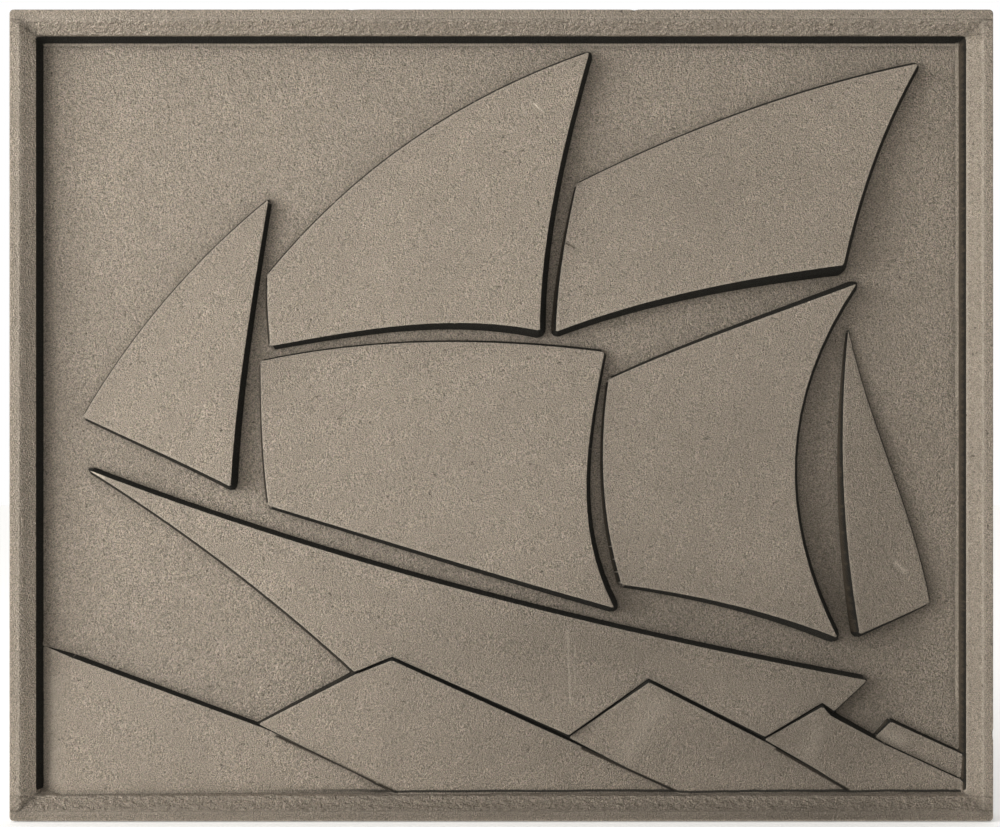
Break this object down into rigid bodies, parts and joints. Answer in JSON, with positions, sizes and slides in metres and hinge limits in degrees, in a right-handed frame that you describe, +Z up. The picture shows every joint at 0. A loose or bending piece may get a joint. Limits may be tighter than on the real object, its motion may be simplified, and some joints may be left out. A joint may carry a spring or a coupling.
{
  "type": "fireback",
  "caption": "Rectangular cast-iron fireback with a moulded frame and a low relief of a ship under sail over faceted waves.",
  "frame": {"origin": "centre of the flat back face", "axes": "+X to the viewer's right, +Z up, +Y out of the back towards the wall; the relief faces -Y"},
  "size_m": [0.6, 0.0234, 0.495],
  "materials": {
    "cast_iron": "sand-cast iron, black in the hollows and rubbed to a dull grey-brown metal on the raised and flat faces"
  },
  "bodies": {
    "root": {"fireback_plate": "cast_iron"}
  },
  "joints": []
}
